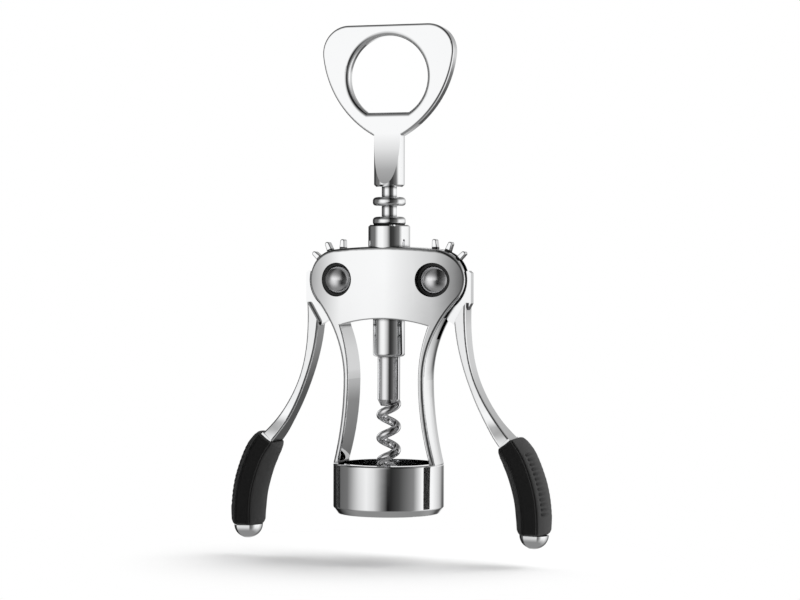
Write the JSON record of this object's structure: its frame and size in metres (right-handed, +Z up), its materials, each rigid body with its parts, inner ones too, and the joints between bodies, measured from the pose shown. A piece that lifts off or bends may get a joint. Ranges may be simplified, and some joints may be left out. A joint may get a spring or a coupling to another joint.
{
  "type": "wing corkscrew",
  "caption": "Wing corkscrew with a collar that sits on the bottle, bowed struts, a slotted head, geared levers with rubber grips and a turn handle that is also a crown cap opener.",
  "frame": {"origin": "centre of the collar's bottom rim, on the shaft's axis", "axes": "+Z up the shaft towards the opener handle, +X towards the right lever, -Y towards the front"},
  "size_m": [0.1174, 0.0386, 0.18],
  "materials": {
    "chrome": "polished",
    "liner_plastic": "matt",
    "bush_plastic": "matt",
    "steel_pin": "drawn",
    "worm_steel": "polished",
    "grip_rubber": "matt, moulded",
    "pivot_steel": "polished",
    "washer_plastic": "matt"
  },
  "bodies": {
    "frame_body": {"frame": "chrome", "collar_liner": "liner_plastic", "left_pivot_barrel": "pivot_steel", "right_pivot_barrel": "pivot_steel", "left_pivot_screw": "pivot_steel", "right_pivot_screw": "pivot_steel", "left_front_washer": "washer_plastic", "right_front_washer": "washer_plastic", "left_rear_washer": "washer_plastic", "right_rear_washer": "washer_plastic"},
    "bush_body": {"neck_bush": "bush_plastic"},
    "shaft_body": {"opener_handle": "chrome", "handle_pin": "steel_pin", "rack_shaft": "chrome", "worm": "worm_steel", "worm_pin": "steel_pin"},
    "left_lever_body": {"left_lever": "chrome", "left_grip": "grip_rubber", "left_end_cap": "chrome"},
    "right_lever_body": {"right_lever": "chrome", "right_grip": "grip_rubber", "right_end_cap": "chrome"}
  },
  "joints": [
    {"name": "handle_spin", "type": "hinge", "parent": "frame_body", "child": "bush_body", "pos_m": [0, 0, 0.096], "axis": [0, 0, 1], "continuous": true},
    {"name": "shaft_slide", "type": "slide", "parent": "bush_body", "child": "shaft_body", "axis": [0, 0, 1], "range_m": [-0.028, 0.0043]},
    {"name": "left_lever_hinge", "type": "hinge", "parent": "frame_body", "child": "left_lever_body", "pos_m": [-0.0175, 0, 0.081], "axis": [0, 1, 0], "range_deg": [-15.9, 103]},
    {"name": "right_lever_hinge", "type": "hinge", "parent": "frame_body", "child": "right_lever_body", "pos_m": [0.0175, 0, 0.081], "axis": [0, -1, 0], "range_deg": [-15.9, 103]}
  ],
  "couplings": [
    {"joint": "left_lever_hinge", "follows": "shaft_slide", "rad_per_m": -64.16},
    {"joint": "right_lever_hinge", "follows": "shaft_slide", "rad_per_m": -64.16}
  ]
}
